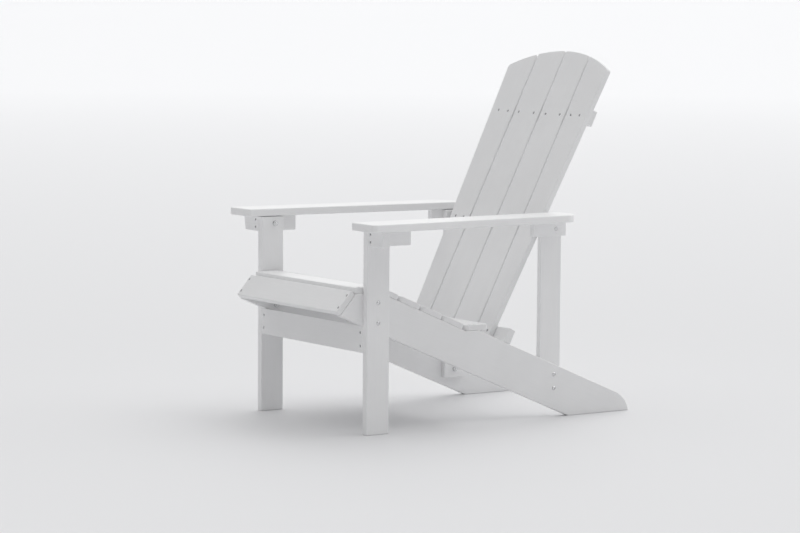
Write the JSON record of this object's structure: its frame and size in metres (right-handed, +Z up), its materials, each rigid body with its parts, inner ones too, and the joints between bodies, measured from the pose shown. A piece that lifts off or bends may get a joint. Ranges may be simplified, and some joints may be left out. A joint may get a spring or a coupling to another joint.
{
  "type": "adirondack chair",
  "caption": "Low slatted garden chair with a leaning, arched fan back, a sloping slatted seat with a dropped front edge, and wide flat arms.",
  "frame": {"origin": "on the floor, at the middle of the chair's bounding box from side to side and from front to back", "axes": "+Z up, -Y towards the front of the seat, +X towards the sitter's left"},
  "size_m": [0.7304, 0.9664, 0.9939],
  "materials": {
    "lumber": "white plastic lumber, satin, with slightly rounded edges and a faint sawn grain",
    "steel": "stainless steel, satin"
  },
  "bodies": {
    "root": {"left_front_leg": "lumber", "right_front_leg": "lumber", "left_side_rail": "lumber", "right_side_rail": "lumber", "left_arm": "lumber", "right_arm": "lumber", "left_arm_bracket": "lumber", "right_arm_bracket": "lumber", "left_front_cleat": "lumber", "right_front_cleat": "lumber", "left_rear_cleat": "lumber", "right_rear_cleat": "lumber", "left_rear_post": "lumber", "right_rear_post": "lumber", "front_apron": "lumber", "left_apron_cleat": "lumber", "right_apron_cleat": "lumber", "seat_slat_1": "lumber", "seat_slat_2": "lumber", "seat_slat_3": "lumber", "seat_slat_4": "lumber", "seat_slat_5": "lumber", "seat_slat_6": "lumber", "seat_slat_7": "lumber", "back_slat_1": "lumber", "back_slat_2": "lumber", "back_slat_3": "lumber", "back_slat_4": "lumber", "upper_back_brace": "lumber", "middle_back_brace": "lumber", "lower_back_brace": "lumber", "frame_bolts": "steel", "post_bolts": "steel", "brace_bolts": "steel", "bolt_washers": "steel", "bolt_nuts": "steel", "barrel_nuts": "steel", "seat_screws": "steel", "back_screws": "steel", "bracket_screws": "steel", "apron_screws": "steel", "apron_cleat_screws": "steel", "arm_screws": "steel", "lower_brace_screws": "steel"}
  },
  "joints": []
}
